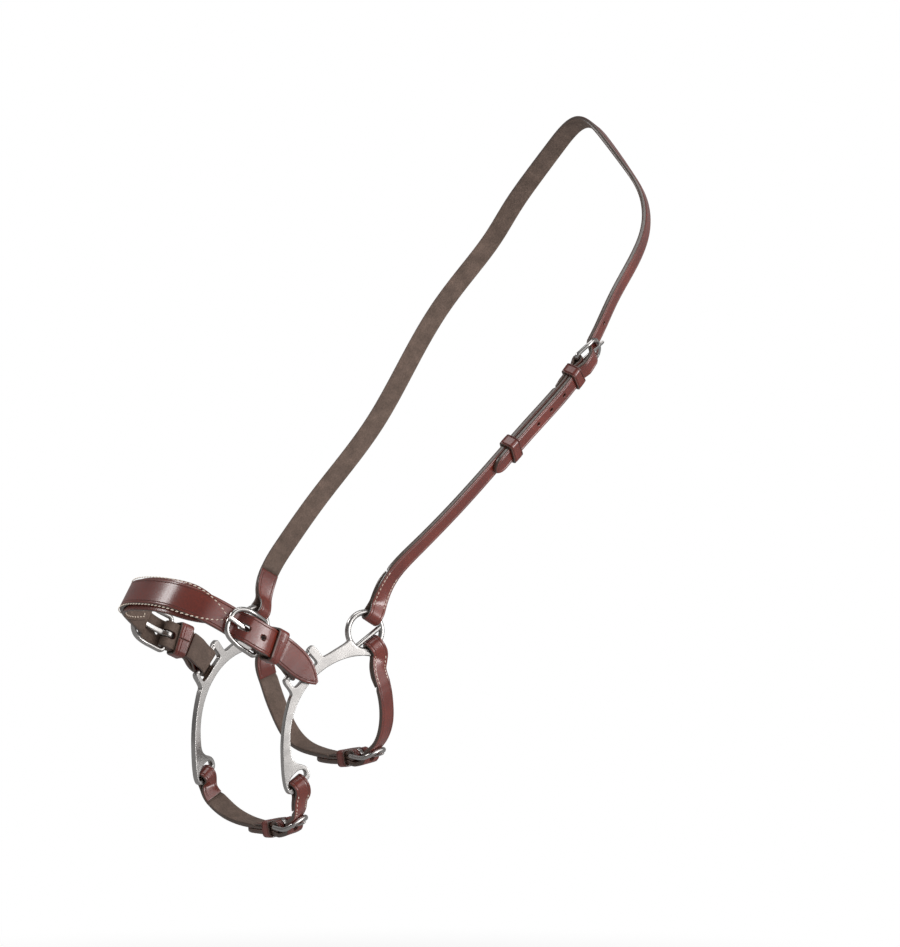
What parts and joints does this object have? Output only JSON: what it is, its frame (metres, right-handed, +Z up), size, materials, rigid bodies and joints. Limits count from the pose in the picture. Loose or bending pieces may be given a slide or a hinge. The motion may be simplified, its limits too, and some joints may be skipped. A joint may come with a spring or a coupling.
{
  "type": "noseband",
  "caption": "Combination noseband: crescent steel cheek plates carrying a padded nose strap, a jaw strap and a chin strap, hung from a buckled headpiece.",
  "frame": {"origin": "underside of the headpiece at the top of the poll, in the middle of the strap", "axes": "+X towards the back of the head, -X towards the nose, +Y to the horse's right, -Y to its left (near side), +Z up; worn pose with the head held at about 45 degrees"},
  "size_m": [0.3776, 0.1922, 0.4769],
  "materials": {
    "headpiece_strap": "waxed vegetable-tanned bridle leather, satin",
    "left_cheek_strap": "waxed vegetable-tanned bridle leather, satin",
    "cheek_upper_keeper": "waxed vegetable-tanned bridle leather, satin",
    "cheek_lower_keeper": "waxed vegetable-tanned bridle leather, satin",
    "nose_strap": "waxed vegetable-tanned bridle leather, satin",
    "nose_lining": "matt flesh-side lining",
    "nose_chape_left": "waxed vegetable-tanned bridle leather, satin",
    "nose_chape_right": "waxed vegetable-tanned bridle leather, satin",
    "nose_keeper_left": "waxed vegetable-tanned bridle leather, satin",
    "nose_keeper_right": "waxed vegetable-tanned bridle leather, satin",
    "jaw_strap_left": "waxed vegetable-tanned bridle leather, satin",
    "jaw_strap_right": "waxed vegetable-tanned bridle leather, satin",
    "jaw_keeper": "waxed vegetable-tanned bridle leather, satin",
    "chin_strap_left": "waxed vegetable-tanned bridle leather, satin",
    "chin_strap_right": "waxed vegetable-tanned bridle leather, satin",
    "chin_keeper": "waxed vegetable-tanned bridle leather, satin",
    "left_cheek_plate": "polished stainless steel",
    "right_cheek_plate": "polished stainless steel",
    "cheek_buckle_frame": "polished stainless steel",
    "cheek_buckle_tongue": "polished stainless steel",
    "nose_buckle_frame_left": "polished stainless steel",
    "nose_buckle_frame_right": "polished stainless steel",
    "nose_buckle_tongue_left": "polished stainless steel",
    "nose_buckle_tongue_right": "polished stainless steel",
    "jaw_buckle_frame": "polished stainless steel",
    "jaw_buckle_tongue": "polished stainless steel",
    "chin_buckle_frame": "polished stainless steel",
    "chin_buckle_tongue": "polished stainless steel"
  },
  "bodies": {
    "headpiece": {"headpiece_strap": "headpiece_strap", "left_cheek_strap": "left_cheek_strap", "cheek_buckle_frame": "cheek_buckle_frame", "cheek_upper_keeper": "cheek_upper_keeper"},
    "cheek_tongue": {"cheek_buckle_tongue": "cheek_buckle_tongue"},
    "cheek_runner": {"cheek_lower_keeper": "cheek_lower_keeper"},
    "nose_unit": {"left_cheek_plate": "left_cheek_plate", "right_cheek_plate": "right_cheek_plate", "nose_strap": "nose_strap", "nose_lining": "nose_lining", "nose_chape_left": "nose_chape_left", "nose_chape_right": "nose_chape_right", "nose_buckle_frame_left": "nose_buckle_frame_left", "nose_buckle_frame_right": "nose_buckle_frame_right", "nose_keeper_left": "nose_keeper_left", "nose_keeper_right": "nose_keeper_right"},
    "nose_tongue_left": {"nose_buckle_tongue_left": "nose_buckle_tongue_left"},
    "nose_tongue_right": {"nose_buckle_tongue_right": "nose_buckle_tongue_right"},
    "jaw_strap": {"jaw_strap_left": "jaw_strap_left", "jaw_strap_right": "jaw_strap_right", "jaw_buckle_frame": "jaw_buckle_frame", "jaw_keeper": "jaw_keeper"},
    "jaw_tongue": {"jaw_buckle_tongue": "jaw_buckle_tongue"},
    "chin_strap": {"chin_strap_left": "chin_strap_left", "chin_strap_right": "chin_strap_right", "chin_buckle_frame": "chin_buckle_frame", "chin_keeper": "chin_keeper"},
    "chin_tongue": {"chin_buckle_tongue": "chin_buckle_tongue"}
  },
  "joints": [
    {"name": "nose_unit_swing", "type": "hinge", "parent": "headpiece", "child": "nose_unit", "pos_m": [-0.24, 0, -0.34], "axis": [0, 1, 0], "range_deg": [-5, 16]},
    {"name": "jaw_strap_swing", "type": "hinge", "parent": "nose_unit", "child": "jaw_strap", "pos_m": [-0.24, 0, -0.34], "axis": [0, 1, 0], "range_deg": [-3, 3]},
    {"name": "chin_strap_swing", "type": "hinge", "parent": "nose_unit", "child": "chin_strap", "pos_m": [-0.28666, 0, -0.4356], "axis": [0, 1, 0], "range_deg": [-8, 0.5]},
    {"name": "cheek_tongue_hinge", "type": "hinge", "parent": "headpiece", "child": "cheek_tongue", "pos_m": [-0.08387, -0.08849, -0.16769], "axis": [-0.7358, -0.4432, 0.512], "range_deg": [-5, 0]},
    {"name": "nose_tongue_left_hinge", "type": "hinge", "parent": "nose_unit", "child": "nose_tongue_left", "pos_m": [-0.31655, -0.04966, -0.34339], "axis": [-0.3768, 0.0329, -0.9257], "range_deg": [-2.5, 0]},
    {"name": "nose_tongue_right_hinge", "type": "hinge", "parent": "nose_unit", "child": "nose_tongue_right", "pos_m": [-0.31655, 0.04966, -0.34339], "axis": [-0.3768, -0.0329, -0.9257], "range_deg": [0, 2.5]},
    {"name": "jaw_tongue_hinge", "type": "hinge", "parent": "jaw_strap", "child": "jaw_tongue", "pos_m": [-0.21709, -0.02388, -0.42063], "axis": [0.9904, 0.004, 0.1384], "range_deg": [0, 4]},
    {"name": "chin_tongue_hinge", "type": "hinge", "parent": "chin_strap", "child": "chin_tongue", "pos_m": [-0.276, -0.02059, -0.46289], "axis": [0.977, -0.0716, 0.2009], "range_deg": [0, 4]},
    {"name": "cheek_runner_slide", "type": "slide", "parent": "headpiece", "child": "cheek_runner", "axis": [0.7232, -0.0784, 0.6861], "range_m": [-0.014, 0.014]}
  ]
}
